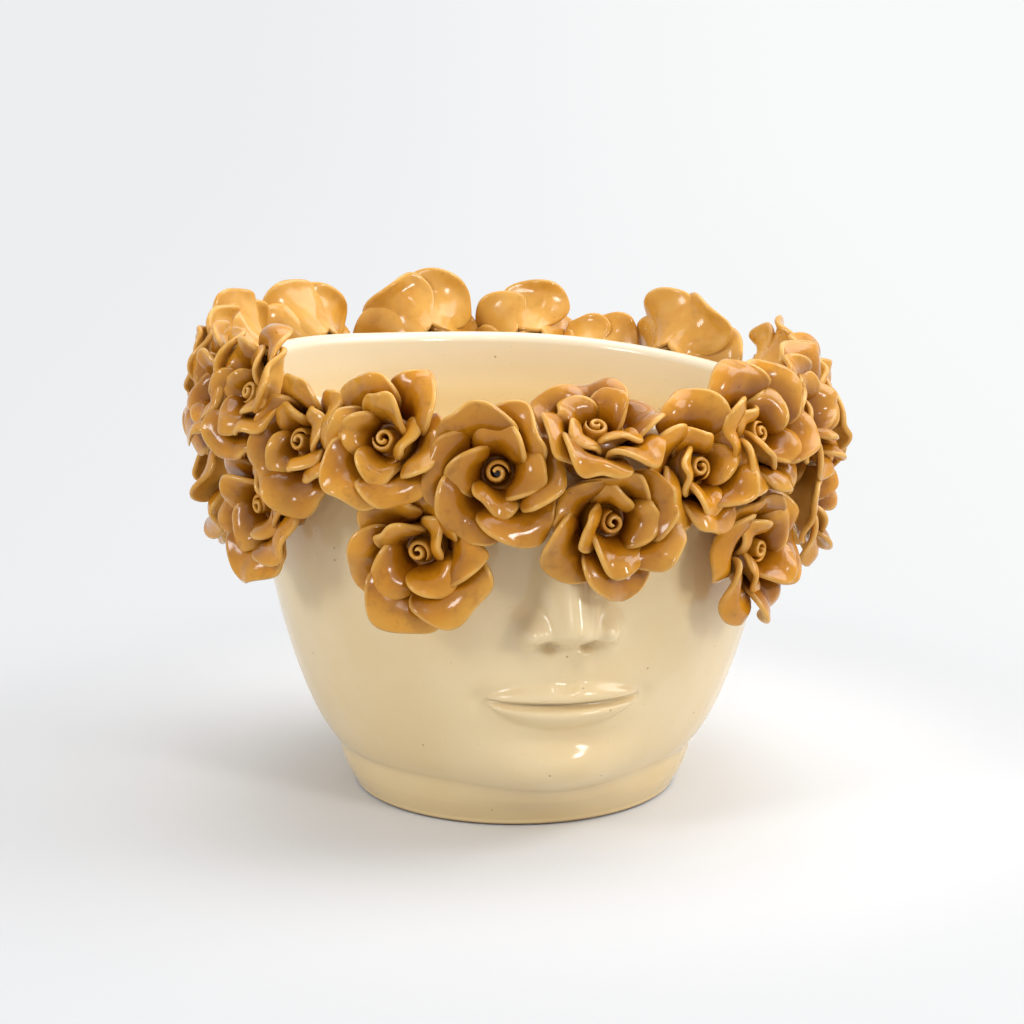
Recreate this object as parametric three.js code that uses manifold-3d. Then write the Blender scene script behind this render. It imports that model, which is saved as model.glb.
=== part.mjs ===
// A face cachepot crowned with roses: one cast pot, and roses that are each a rolled heart set in a
// fused ring of petals, luted to the wall round the rim. Millimetres, +Z up, the face looks along -Y.
// A wall angle is measured in degrees round the pot from the middle of the face, growing towards +X.

import * as THREE from "three";
import { mergeVertices } from "three/addons/utils/BufferGeometryUtils.js";
import Module from "manifold-3d";

const wasm = await Module();
wasm.setup();

// Pot
const RIM_HEIGHT = 147; // top of the lip, half way down its slant
const RIM_RADIUS = 94; // outside of the wall at the lip
const RIM_SLANT = 3.7; // degrees by which the lip leans
const RIM_LOW_ANGLE = 79; // wall angle where the lip is lowest
const WALL = 7;
const FLOOR = 9;
const FLOOR_FILLET = 12; // run of the round between the floor and the inner wall
const FOOT_RADIUS = 58; // at the table
const FOOT_HEIGHT = 17; // up to the crease under the belly
const FOOT_FLARE = 5.5; // how much wider the foot is at the crease
const FOOT_EDGE = 2; // rounding at the table
const FOOT_RING = 11; // width of the bare ring that the pot stands on
const FOOT_RECESS = 2.5; // depth of the hollow inside that ring
const CREASE_STEP = 1.8; // how far the belly stands out over the foot
const BELLY_FLARE = 40; // degrees off the vertical where the belly leaves the crease
const BELLY_PULL = 25; // how far the belly keeps that direction
const RIM_PULL = 42; // how far the wall stays upright below the lip

// Face, on the drawing-book canon of thirds
const CHIN_BOTTOM = 12; // above the table
const FACE_THIRD = 62; // chin to nose base, and nose base to brow
const NOSE_WIDTH = 32;
const NOSE_HEIGHT = 19; // how far the tip stands out
const MOUTH_WIDTH = 50;
const LIP_RELIEF = 5;
const CHIN_RELIEF = 13;
const MUZZLE_RELIEF = 9;
const CHEEK_RELIEF = 3;

// Rose
const ROSE_RADIUS = 25; // reach of the open petals
const PETAL_THICKNESS = 2.2;
const INNER_PETALS = 4;
const INNER_LENGTH = 16.5;
const INNER_HALF_WIDTH = 6.7;
const INNER_ROOT = 3.4; // half width where the petal leaves the pad
const OUTER_PETALS = 6;
const OUTER_HALF_WIDTH = 9.4;
const OUTER_ROOT = 4;
const RING_STEP = 0.6; // between the roots of the two rings of petals
const ROOT_LEVEL = -0.6; // where the pad cuts the round outline of a petal, from -1 to 1
const PAD_HEIGHT = 5; // pad of clay that carries the petals, above the wall
const PAD_MARGIN = 0.6; // of the pad round the roots
const PAD_DRAFT = 0.6; // how much wider the pad is at the wall
const PAD_SINK = 3; // of the untrimmed pad into the wall
const HEART_RADIUS = 4.6;
const HEART_LENGTH = 9.5;
const HEART_STRIP = 1.5; // thickness of the rolled strip
const HEART_TURNS = 1.5;
const HEART_GAP = 0.5; // between the turns
const SEAT_GAP = 0.3; // between pieces that are set on each other
const NEIGHBOUR_GAP = 0.5; // between petals of two roses

// Facets
const POT_COLUMNS = 36;
const FRONT_CROWDING = 0.65; // share by which the columns crowd towards the face
const PAD_SIDES = 6;
const STRIP_STEPS = 8;

// Where the roses sit: wall angle, distance of the seat below the lip, upward tilt of the rose in
// degrees, and size against ROSE_RADIUS. The first list is the row along the lip.
const LIP_ROW = [
  [-14, 15, 12, 1.15],
  [4, 6, 60, 0.95],
  [23, 15, 15, 1.0],
  [38, 7, 20, 1.0],
  [58, 6, 20, 1.0],
  [79, 7, 14, 1.0],
  [102, 7, 8, 0.95],
  [132, 7, 5, 1.05],
  [153, 13, 5, 0.85],
  [166, 7, 4, 1.1],
  [188, 7, 4, 1.12],
  [217, 7, 5, 1.0],
  [240, 7, 8, 1.0],
  [260, 8, 14, 1.05],
  [277, 8, 20, 1.05],
  [293, 5, 24, 0.95],
  [308, 14, 16, 0.95],
  [326, 9, 18, 1.0],
];
const LOWER_ROW = [
  [-28, 40, 0, 1.08],
  [6, 29, 4, 1.08],
  [40, 45, 0, 1.0],
  [64, 32, 4, 1.0],
  [92, 40, 2, 1.0],
  [138, 42, 0, 1.04],
  [203, 41, 1, 1.05],
  [252, 40, 0, 1.08],
  [295, 36, 2, 1.0],
];

const creamGlaze = new THREE.MeshStandardMaterial({ color: 0xdcc79c, roughness: 0.2, metalness: 0 });
const honeyGlaze = new THREE.MeshStandardMaterial({ color: 0xb67a34, roughness: 0.18, metalness: 0 });

// Distances from a rose's axis to the roots of its petals and to the edge of its pad
const INNER_BASE = HEART_RADIUS + SEAT_GAP + PETAL_THICKNESS / 2;
const OUTER_BASE = INNER_BASE + PETAL_THICKNESS + RING_STEP;
const PAD_RADIUS = (OUTER_BASE + PETAL_THICKNESS / 2 + PAD_MARGIN) / Math.cos(Math.PI / PAD_SIDES);

const degrees = THREE.MathUtils.degToRad;
const { lerp, clamp, smoothstep } = THREE.MathUtils;

// A closed geometry as a solid, with its shared corners merged and collapsed triangles dropped.
function solidOf(geometry) {
  const bare = geometry.clone();
  bare.deleteAttribute("normal");
  bare.deleteAttribute("uv");
  const merged = mergeVertices(bare, 1e-4);
  const corners = merged.index.array;
  const kept = [];
  for (let i = 0; i < corners.length; i += 3) {
    const [a, b, c] = corners.slice(i, i + 3);
    if (a !== b && b !== c && c !== a) kept.push(a, b, c);
  }
  const vertProperties = merged.attributes.position.array;
  return new wasm.Manifold(new wasm.Mesh({ numProp: 3, vertProperties, triVerts: new Uint32Array(kept) }));
}

function geometryOf(solid) {
  const mesh = solid.getMesh();
  const geometry = new THREE.BufferGeometry();
  geometry.setAttribute("position", new THREE.BufferAttribute(mesh.vertProperties, 3));
  geometry.setIndex(new THREE.BufferAttribute(mesh.triVerts, 1));
  geometry.computeVertexNormals();
  return geometry;
}

// Moves every vertex of a geometry by a function that changes the point it is given.
function reshape(geometry, move) {
  const place = geometry.attributes.position;
  const point = new THREE.Vector3();
  for (let i = 0; i < place.count; i++) {
    move(point.fromBufferAttribute(place, i), i);
    place.setXYZ(i, point.x, point.y, point.z);
  }
  return geometry;
}

// The pot's wall

const outward = (angle) => new THREE.Vector3(Math.sin(angle), -Math.cos(angle), 0);

function along(point, angleOffVertical, distance) {
  const angle = degrees(angleOffVertical);
  return new THREE.Vector2(point.x + distance * Math.sin(angle), point.y + distance * Math.cos(angle));
}

const creaseRadius = FOOT_RADIUS + FOOT_FLARE;
const bellyStart = new THREE.Vector2(creaseRadius + CREASE_STEP, FOOT_HEIGHT + CREASE_STEP);
const lipStart = new THREE.Vector2(RIM_RADIUS, RIM_HEIGHT - WALL / 2);
const bellyCurve = new THREE.CubicBezierCurve(
  bellyStart,
  along(bellyStart, BELLY_FLARE, BELLY_PULL),
  along(lipStart, 0, -RIM_PULL),
  lipStart,
);

// The place along the belly curve that lies at a height, found by halving.
function bellyAt(height) {
  let [low, high] = [0, 1];
  for (let i = 0; i < 30; i++) {
    const middle = (low + high) / 2;
    if (bellyCurve.getPoint(middle).y < height) low = middle;
    else high = middle;
  }
  return low;
}

// How far the slanted lip lifts or lowers a point: nothing at the table, all of it at the lip.
function slant(x, y, z) {
  const low = outward(degrees(RIM_LOW_ANGLE));
  return -Math.tan(degrees(RIM_SLANT)) * (x * low.x + y * low.y) * (z / RIM_HEIGHT) ** 2;
}

// The face

const noseBase = CHIN_BOTTOM + FACE_THIRD;
const brow = noseBase + FACE_THIRD;
const mouthLine = noseBase - FACE_THIRD / 3;
const noseTip = noseBase + 8;
const nasion = brow - 10;

// A round-topped rise of one unit at (x0, z0) that fades over the given widths.
const rise = (x, z, x0, z0, wide, high) => Math.exp(-(((x - x0) / wide) ** 2) - ((z - z0) / high) ** 2);

function noseRelief(x, z) {
  const down = clamp((nasion - z) / (nasion - noseTip), 0, 1);
  const ridge = lerp(0.12, 0.78, down) * Math.exp(-((x / lerp(7, 10, down)) ** 2));
  const ends = smoothstep(z, noseBase - 3, noseTip) * (1 - smoothstep(z, nasion, brow));
  const tip = 0.3 * rise(x, z, 0, noseTip, NOSE_WIDTH / 4, 7);
  const wing = 0.42 * rise(Math.abs(x), z, NOSE_WIDTH / 2 - 4.5, noseBase + 5.5, 5.5, 6);
  return NOSE_HEIGHT * (ridge * ends + tip + wing);
}

function mouthRelief(x, z) {
  const half = MOUTH_WIDTH / 2;
  const side = Math.abs(x);
  const inside = 1 - smoothstep(side, half - 9, half + 2);
  const upper = 0.85 * rise(side, z, 7, mouthLine + 4.4, 12, 3.8) * inside;
  const lower = 1.1 * rise(x, z, 0, mouthLine - 5, 16, 4.8) * inside;
  const parting = -0.75 * rise(0, z, 0, mouthLine, 1, 1.7) * (1 - smoothstep(side, half - 4, half + 1));
  const corner = -0.35 * rise(side, z, half + 1, mouthLine, 4, 4.5);
  const philtrum = -0.2 * rise(x, z, 0, mouthLine + 12.5, 3.2, 5);
  const fold = -0.55 * rise(x, z, 0, mouthLine - 14, 16, 4.5);
  return LIP_RELIEF * (upper + lower + parting + corner + philtrum + fold);
}

// How far the face stands out of the round wall at an arc length from the middle and a height.
function faceRelief(x, z) {
  const muzzle = MUZZLE_RELIEF * rise(x, z, 0, mouthLine + 3, 36, 27);
  const chin = CHIN_RELIEF * rise(x, z, 0, CHIN_BOTTOM + 14, 23, 14);
  const cheek = CHEEK_RELIEF * rise(Math.abs(x), z, 43, noseBase + 6, 20, 22);
  const ends = smoothstep(z, FOOT_EDGE, CHIN_BOTTOM) * (1 - smoothstep(z, brow, RIM_HEIGHT - WALL));
  return ends * (muzzle + chin + cheek + noseRelief(x, z) + mouthRelief(x, z));
}

// Relief of the wall at a wall angle in radians; the back of the pot has none.
function wallRelief(angle, radius, height) {
  const turned = Math.atan2(Math.sin(angle), Math.cos(angle));
  return faceRelief(turned * radius, height);
}

// Point on the outside of the finished wall.
function wallPoint(angle, height) {
  const radius = bellyCurve.getPoint(bellyAt(height)).x;
  const point = outward(angle).multiplyScalar(radius + wallRelief(angle, radius, height));
  point.z = height + slant(point.x, point.y, height);
  return point;
}

// Heights of the facet rows: one on each feature of the face, and even ones above it.
const faceRows = [
  CHIN_BOTTOM + 14, mouthLine - 20, mouthLine - 14, mouthLine - 9, mouthLine - 5, mouthLine - 2,
  mouthLine, mouthLine + 2, mouthLine + 5, mouthLine + 10, noseBase - 3, noseBase + 2, noseTip - 3,
  noseTip, noseTip + 10, nasion - 14, nasion, brow,
];

// Outer profile from the foot to the lip, grown by a clearance.
function outerProfile(clearance) {
  const rows = faceRows.map(bellyAt).filter((t) => t > 0.02 && t < 0.98);
  const wall = [0, ...rows, 1].map((t) => {
    const point = bellyCurve.getPoint(t);
    const tangent = bellyCurve.getTangent(t);
    return new THREE.Vector2(point.x + clearance * tangent.y, point.y - clearance * tangent.x);
  });
  return [
    new THREE.Vector2(FOOT_RADIUS - FOOT_EDGE, -clearance),
    new THREE.Vector2(FOOT_RADIUS + clearance, FOOT_EDGE),
    new THREE.Vector2(lerp(FOOT_RADIUS, creaseRadius, 0.55) + clearance, lerp(FOOT_EDGE, FOOT_HEIGHT, 0.5)),
    new THREE.Vector2(creaseRadius + clearance, FOOT_HEIGHT),
    ...wall,
  ];
}

// Profile from the lip's outside, over the lip, down the inner wall and across the floor.
function innerProfile() {
  const lipMiddle = new THREE.Vector2(RIM_RADIUS - WALL / 2, RIM_HEIGHT - WALL / 2);
  const lip = [50, 100, 150].map((turn) => {
    const angle = degrees(turn);
    const half = WALL / 2;
    return new THREE.Vector2(lipMiddle.x + half * Math.cos(angle), lipMiddle.y + half * Math.sin(angle));
  });
  const wall = [0.95, 0.55, 0.27, 0.1].map((t) => {
    const point = bellyCurve.getPoint(t);
    const tangent = bellyCurve.getTangent(t);
    return new THREE.Vector2(point.x - WALL * tangent.y, point.y + WALL * tangent.x);
  });
  const last = wall[wall.length - 1];
  const round = new THREE.QuadraticBezierCurve(
    last,
    new THREE.Vector2(last.x - FLOOR_FILLET / 3, FLOOR),
    new THREE.Vector2(last.x - FLOOR_FILLET, FLOOR),
  );
  return [...lip, ...wall, round.getPoint(0.5), round.getPoint(1), new THREE.Vector2(0, FLOOR)];
}

// Turns a profile about the axis, crowds the columns towards the face and raises the relief on the
// profile points up to outerCount.
function turned(profile, outerCount) {
  const lathe = new THREE.LatheGeometry(profile, POT_COLUMNS).rotateX(Math.PI / 2);
  return reshape(lathe, (point, i) => {
    const share = Math.floor(i / profile.length) / POT_COLUMNS;
    const { x: radius, y: height } = profile[i % profile.length];
    const angle = 2 * Math.PI * share - FRONT_CROWDING * Math.sin(2 * Math.PI * share);
    const relief = i % profile.length < outerCount ? wallRelief(angle, radius, height) : 0;
    point.copy(outward(angle)).multiplyScalar(radius + (radius > 0 ? relief : 0));
    point.z = height + slant(point.x, point.y, height);
  });
}

function potBody() {
  const underside = [
    new THREE.Vector2(0, FOOT_RECESS),
    new THREE.Vector2(FOOT_RADIUS - FOOT_RING - FOOT_RECESS, FOOT_RECESS),
    new THREE.Vector2(FOOT_RADIUS - FOOT_RING, 0),
  ];
  const outside = [...underside, ...outerProfile(0)];
  return solidOf(turned([...outside, ...innerProfile()], outside.length));
}

// The pot with its mouth filled, grown by the gap that pieces on the wall keep.
function potBlank() {
  const outside = [new THREE.Vector2(0, -SEAT_GAP), ...outerProfile(SEAT_GAP)];
  const lid = [
    new THREE.Vector2(RIM_RADIUS - WALL / 8, RIM_HEIGHT - WALL / 8),
    new THREE.Vector2(RIM_RADIUS - WALL / 2, RIM_HEIGHT + SEAT_GAP),
    new THREE.Vector2(0, RIM_HEIGHT + SEAT_GAP),
  ];
  return solidOf(turned([...outside, ...lid], outside.length));
}

// The crown

// A repeatable spread from -1 to 1 for each rose, petal and quality.
function spread(rose, petal, quality) {
  const golden = (Math.sqrt(5) - 1) / 2;
  const turns = (37 * rose + 11 * petal + 5 * quality + 1) * golden;
  return 2 * (turns - Math.floor(turns)) - 1;
}

// Seat, axis and size of one rose.
function seatRose([wallAngle, drop, tilt, size], index) {
  const angle = degrees(wallAngle);
  const seat = wallPoint(angle, RIM_HEIGHT - drop);
  const axis = outward(angle).multiplyScalar(Math.cos(degrees(tilt)));
  axis.z = Math.sin(degrees(tilt));
  const side = new THREE.Vector3(Math.cos(angle), Math.sin(angle), 0);
  const frame = new THREE.Matrix4().makeBasis(side, axis.clone().cross(side), axis).setPosition(seat);
  const core = seat.clone().addScaledVector(axis, PAD_HEIGHT);
  return { index, frame, core, size, tilt: degrees(tilt), radius: ROSE_RADIUS * size, plots: [] };
}

const crown = [...LIP_ROW, ...LOWER_ROW].map(seatRose);

// Each rose keeps to its own plot: planes half way to its neighbours bound it.
for (const rose of crown) {
  for (const other of crown) {
    const across = other.core.clone().sub(rose.core);
    const distance = across.length();
    if (other === rose || distance > 1.5 * (rose.radius + other.radius)) continue;
    const share = (distance * rose.radius) / (rose.radius + other.radius) - NEIGHBOUR_GAP / 2;
    const normal = across.normalize();
    const border = rose.core.clone().addScaledVector(normal, share);
    rose.plots.push(new THREE.Plane().setFromNormalAndCoplanarPoint(normal, border));
  }
}

// How far a point lies towards the border of its rose's plot, 0 at the core and 1 on the border. The
// tenth-power sum rounds the corners of the plot.
function crowding(rose, offset) {
  const shares = rose.plots.map((plane) => -plane.normal.dot(offset) / plane.distanceToPoint(rose.core));
  const sum = shares.reduce((total, share) => total + Math.max(0, share) ** 10, 0);
  return Math.max(1e-6, sum ** 0.1);
}

// Presses a point back towards the core so that it never reaches the border. What is pressed in stands
// up along the rose's axis instead.
function press(rose, point) {
  const free = 0.88;
  const axis = new THREE.Vector3(0, 0, 1).transformDirection(rose.frame);
  const offset = point.sub(rose.core);
  for (const lift of [0.7, 0]) {
    const share = crowding(rose, offset);
    if (share < free) break;
    const pressed = free + (1 - free) * (1 - Math.exp(-(share - free) / (1 - free)));
    const aside = offset.clone().projectOnPlane(axis).length();
    const kept = pressed / share;
    offset.multiplyScalar(kept).addScaledVector(axis, lift * (1 - kept) * aside);
  }
  return offset.add(rose.core);
}

// One petal in the rose's own frame. Its outline is a round disc, x across and y towards the tip from
// -1 to 1, cut off by the pad at ROOT_LEVEL. The middle line is an arc that leans out from leanBase to
// leanTip. Across it the petal is cupped, twisted over its neighbour and waved, and its lip rolls back.
function petalSurface(petal) {
  const { turn, root, baseRadius, length, halfWidth, leanBase, leanTip } = petal;
  const { cup, twist, curl, wave, phase } = petal;
  const bend = leanTip - leanBase;
  const out = new THREE.Vector3(Math.cos(turn), Math.sin(turn), 0);
  const across = new THREE.Vector3(-Math.sin(turn), Math.cos(turn), 0);
  const up = new THREE.Vector3(0, 0, 1);
  const rootShare = Math.sqrt(1 - ROOT_LEVEL ** 2);
  return (x, y, target) => {
    const v = (y - ROOT_LEVEL) / (1 - ROOT_LEVEL);
    const grown = smoothstep(v, 0, 0.5);
    const wander = 1 + 0.1 * x * Math.sin(4 * v + phase) * grown;
    const sideways = x * lerp(root / rootShare, halfWidth, grown) * wander;
    const run = v + 0.06 * Math.sin(2.6 * x + 1.7 * phase) * grown * v;
    const lean = leanBase + bend * run;
    const radius = baseRadius + (length * (Math.cos(leanBase) - Math.cos(lean))) / bend;
    const height = PAD_HEIGHT + (length * (Math.sin(lean) - Math.sin(leanBase))) / bend;
    const wrap = lerp(baseRadius, cup, grown);
    const hollow = -wrap * (1 - Math.cos(sideways / wrap));
    const ripple = Math.sin(3.4 * x + phase) + 0.4 * Math.sin(6.5 * x - 2 * phase);
    const roll = curl * smoothstep(Math.hypot(x, y), 0.55, 1.05);
    const moved = sideways * Math.tan(twist) + wave * ripple * Math.max(0, v) ** 1.5 + roll;
    const back = hollow + grown * moved;
    return target
      .set(0, 0, 0)
      .addScaledVector(out, radius + back * Math.cos(lean * grown))
      .addScaledVector(up, height - back * Math.sin(lean * grown))
      .addScaledVector(across, wrap * Math.sin(sideways / wrap));
  };
}

// How far a petal can open, from the room in its direction and to both sides of it: 1 is fully open.
function openness(rose, turn, look) {
  const rooms = [-look, 0, look].map((aside) => {
    const [x, y] = [Math.cos(turn + aside), Math.sin(turn + aside)];
    return 1 / crowding(rose, new THREE.Vector3(x, y, 0).transformDirection(rose.frame));
  });
  return clamp((Math.min(...rooms) - OUTER_BASE) / (rose.radius - OUTER_BASE), 0.45, 1);
}

// The petals of a rose, in two rings. A petal with little room stands up instead of opening.
function petalsOf(rose) {
  const { index, size } = rose;
  const petals = [];
  const addRing = (ring) => {
    for (let i = 0; i < ring.count; i++) {
      const vary = (quality) => spread(index, i + ring.start, quality);
      const turn = 2.4 * index + (2 * Math.PI * (i + 0.05 * vary(0))) / ring.count;
      const open = openness(rose, turn, ring.look);
      petals.push({
        turn,
        root: ring.root,
        baseRadius: ring.baseRadius,
        length: ring.length * size * (0.75 + 0.25 * open) * (1 + 0.06 * vary(1)),
        halfWidth: ring.halfWidth * size * (0.3 + 0.7 * open) * (1 + 0.05 * vary(2)),
        leanBase: degrees(ring.leanBase * open),
        leanTip: degrees(ring.leanTip * open + ring.leanSpread * vary(3)),
        cup: ring.cup * size,
        twist: degrees(ring.twist),
        curl: ring.curl * (1 + 0.4 * vary(4)),
        wave: ring.wave,
        phase: Math.PI * vary(5),
      });
    }
  };
  addRing({
    start: 0, count: INNER_PETALS, baseRadius: INNER_BASE, root: INNER_ROOT, length: INNER_LENGTH,
    halfWidth: INNER_HALF_WIDTH, leanBase: 6, leanTip: 44, leanSpread: 2,
    look: 1.2, cup: 9, twist: 18, curl: 0.8, wave: 0.3,
  });
  addRing({
    start: 7, count: OUTER_PETALS, baseRadius: OUTER_BASE, root: OUTER_ROOT,
    length: (ROSE_RADIUS - OUTER_BASE) / 0.82, halfWidth: OUTER_HALF_WIDTH,
    leanBase: 44, leanTip: 88, leanSpread: 3, look: 0.9, cup: 20, twist: 20, curl: 1.2, wave: 0.4,
  });
  return petals;
}

// Rows of corners round a petal's section, at its root on the pad, across its widest place and round its
// tip. Each row runs along the front, which faces the heart, and returns along the back, which is plain
// at the root and the tip.
function petalRows(petal) {
  const surface = petalSurface(petal);
  const step = 1e-3;
  const corner = (x, y, layer) => {
    const point = surface(x, y, new THREE.Vector3());
    if (y === ROOT_LEVEL) {
      const out = new THREE.Vector3(point.x, point.y, 0).normalize();
      return point.addScaledVector(out, (layer * PETAL_THICKNESS) / 2);
    }
    const across = surface(x + step, y, new THREE.Vector3()).sub(point);
    const along = point.clone().sub(surface(x, y - step, new THREE.Vector3()));
    return point.addScaledVector(across.cross(along).normalize(), (layer * PETAL_THICKNESS) / 2);
  };
  const row = (side, level, top, plain) => {
    const [left, middle, right] = [[-side, level], [0, top], [side, level]];
    const front = [left, middle, right].map(([x, y]) => corner(x, y, -1));
    return [...front, ...[right, plain ? right : middle, left].map(([x, y]) => corner(x, y, 1))];
  };
  return [row(0.8, ROOT_LEVEL, ROOT_LEVEL, true), row(0.97, 0.2, 0.2, false), row(0.55, 0.82, 1, true)];
}

// A pad of clay with its petals growing out of its top as one skin. The pad's back lies PAD_SINK inside
// the wall, which trims it to its seat: upright on the wall, and square to a rose that lies on the lip.
function petalsGeometry(rose) {
  const corners = [];
  const faces = [];
  const keep = (points) => points.map((point) => corners.push(point) - 1);
  const ring = (radius, heightAt) =>
    Array.from({ length: PAD_SIDES }, (_, i) => {
      const turn = (2 * Math.PI * i) / PAD_SIDES;
      const [x, y] = [radius * Math.cos(turn), radius * Math.sin(turn)];
      return new THREE.Vector3(x, y, heightAt(x, y));
    });
  const upright = (x, y) => y * Math.tan(rose.tilt) - PAD_SINK / Math.cos(rose.tilt);
  const backAt = rose.tilt < Math.PI / 4 ? upright : () => -PAD_SINK;
  const top = keep(ring(PAD_RADIUS, () => PAD_HEIGHT));
  const bottom = keep(ring(PAD_RADIUS + PAD_DRAFT, backAt));
  for (let i = 0; i < PAD_SIDES; i++) {
    const next = (i + 1) % PAD_SIDES;
    faces.push([bottom[i], bottom[next], top[next]], [bottom[i], top[next], top[i]]);
    if (i > 0 && next > 0) faces.push([bottom[0], bottom[next], bottom[i]]);
  }
  const roots = [];
  for (const petal of petalsOf(rose)) {
    const rows = petalRows(petal).map(keep);
    roots.push(rows[0]);
    for (let k = 0; k < rows[0].length; k++) {
      const next = (k + 1) % rows[0].length;
      for (let r = 0; r + 1 < rows.length; r++) {
        const [low, high] = [rows[r], rows[r + 1]];
        faces.push([low[k], high[next], low[next]], [low[k], high[k], high[next]]);
      }
    }
    const [a, b, c, d, e, f] = rows[rows.length - 1];
    faces.push([a, f, e], [a, e, b], [b, e, d], [b, d, c]);
  }
  const flat = (numbers) => numbers.map((n) => new THREE.Vector2(corners[n].x, corners[n].y));
  const topCorners = [...top, ...roots.flat()];
  for (const face of THREE.ShapeUtils.triangulateShape(flat(top), roots.map(flat))) {
    faces.push(face.map((n) => topCorners[n]));
  }
  const placed = corners.map((point) => press(rose, point.applyMatrix4(rose.frame)));
  return new THREE.BufferGeometry().setFromPoints(placed).setIndex(faces.flat());
}

// The strip rolled into the heart of a rose, drawn as a spiral and extruded along the rose's axis.
function heartGeometry(rose) {
  const pitch = HEART_STRIP + HEART_GAP;
  const spiral = (radius, step) => {
    const turn = (2 * Math.PI * HEART_TURNS * step) / STRIP_STEPS + 2.4 * rose.index;
    const reach = radius - (pitch * HEART_TURNS * step) / STRIP_STEPS;
    return new THREE.Vector2(reach * Math.cos(turn), reach * Math.sin(turn));
  };
  const steps = Array.from({ length: STRIP_STEPS + 1 }, (_, i) => i);
  const outside = steps.map((i) => spiral(HEART_RADIUS, i));
  const inside = steps.map((i) => spiral(HEART_RADIUS - HEART_STRIP, i));
  const strip = new THREE.Shape([...outside, ...inside.reverse()]);
  const roll = new THREE.ExtrudeGeometry(strip, { depth: HEART_LENGTH, bevelEnabled: false });
  return roll.translate(0, 0, PAD_HEIGHT + SEAT_GAP);
}

const blank = potBlank();
const cachepot = new THREE.Group();

const pot = new THREE.Mesh(geometryOf(potBody()), creamGlaze);
pot.name = "pot_body";
cachepot.add(pot);

for (const rose of crown) {
  const number = String(rose.index + 1).padStart(2, "0");
  const seated = solidOf(petalsGeometry(rose)).subtract(blank);
  const petals = new THREE.Mesh(geometryOf(seated).applyMatrix4(rose.frame.clone().invert()), honeyGlaze);
  petals.name = `rose_${number}_petals`;
  const heart = new THREE.Mesh(heartGeometry(rose), honeyGlaze);
  heart.name = `rose_${number}_heart`;
  const flower = new THREE.Group();
  flower.applyMatrix4(rose.frame);
  flower.add(petals, heart);
  cachepot.add(flower);
}

export default cachepot;
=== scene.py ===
"""Face cachepot with a crown of roses: a cream glazed pot, honey glazed roses and a pale studio stage.

Lengths are metres in the row frame: +Z up, the face looks along -Y. A wall angle is measured round the
pot from the middle of the face, growing towards +X.
"""

import bpy
import numpy as np
from bpy.props import FloatProperty, FloatVectorProperty, IntProperty, PointerProperty
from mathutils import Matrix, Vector


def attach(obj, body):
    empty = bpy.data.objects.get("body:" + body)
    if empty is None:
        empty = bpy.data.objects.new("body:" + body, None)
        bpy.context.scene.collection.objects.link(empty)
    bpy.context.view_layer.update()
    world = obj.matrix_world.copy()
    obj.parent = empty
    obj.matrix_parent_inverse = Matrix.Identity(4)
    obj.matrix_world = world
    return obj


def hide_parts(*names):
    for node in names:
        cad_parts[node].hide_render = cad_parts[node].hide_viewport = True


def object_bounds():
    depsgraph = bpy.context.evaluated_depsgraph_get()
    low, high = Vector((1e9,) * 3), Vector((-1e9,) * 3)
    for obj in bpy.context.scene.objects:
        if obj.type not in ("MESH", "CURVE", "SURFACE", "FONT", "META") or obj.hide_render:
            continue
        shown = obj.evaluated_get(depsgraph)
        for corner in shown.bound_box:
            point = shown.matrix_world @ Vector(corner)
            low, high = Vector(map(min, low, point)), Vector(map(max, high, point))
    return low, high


bl_info = {
    "name": "Face Cachepot with Roses",
    "version": (1, 0, 0),
    "blender": (4, 5, 0),
    "location": "View3D > Sidebar > Cachepot",
    "description": "Builds a glazed face cachepot with a crown of hand-rolled roses",
    "category": "Add Mesh",
}

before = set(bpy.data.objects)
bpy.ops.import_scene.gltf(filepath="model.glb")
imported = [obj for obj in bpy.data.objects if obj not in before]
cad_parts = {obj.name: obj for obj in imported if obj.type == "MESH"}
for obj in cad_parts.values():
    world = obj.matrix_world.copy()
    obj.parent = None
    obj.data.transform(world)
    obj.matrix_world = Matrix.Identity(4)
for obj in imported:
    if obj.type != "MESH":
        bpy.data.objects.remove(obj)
CAD_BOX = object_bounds()

MM = 0.001

# Where the roses sit: wall angle in degrees, seat below the lip in millimetres, upward tilt in degrees
# and size against the rose radius. The first eighteen stand along the lip, the others below them.
SEATS = np.array([
    (-14, 15, 12, 1.15), (4, 9, 60, 0.95), (23, 15, 15, 1.0), (38, 7, 20, 1.0), (58, 6, 20, 1.0),
    (79, 7, 14, 1.0), (102, 7, 8, 0.95), (132, 7, 5, 1.05), (153, 13, 5, 0.85), (166, 7, 4, 1.1),
    (188, 7, 4, 1.12), (217, 7, 5, 1.0), (240, 7, 8, 1.0), (260, 8, 14, 1.05), (277, 8, 20, 1.05),
    (293, 5, 24, 0.95), (308, 14, 16, 0.95), (326, 9, 18, 1.0),
    (-28, 40, 0, 1.08), (6, 29, 4, 1.08), (40, 45, 0, 1.0), (64, 32, 4, 1.0), (92, 40, 2, 1.0),
    (138, 42, 0, 1.04), (203, 41, 1, 1.05), (252, 40, 0, 1.08), (295, 36, 2, 1.0),
])

# Roses painted darker, by number, and how far towards the pooled brown: painted shade on roses that sit in
# shade; the glaze of the others is even.
SHADED_ROSES = {1: 0.26, 2: 0.12, 20: 0.16}

# Glaze values on a pad, and the least ones on the rear of a petal: nearness to the border, height out of the
# folds and thinness of the glaze. The pad's values paint it darker, as painted shade; the rear's values paint
# the rear of every petal lighter, as painted light.
PAD_GLAZE_AND_SHADE = {"edge_and_rear_light": 0.0, "depth": 0.5, "thin_and_rear_light": 0.0}
REAR_PAINTED_LIGHT = {"edge_and_rear_light": 0.8, "depth": 0.8, "thin_and_rear_light": 0.5}

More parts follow.
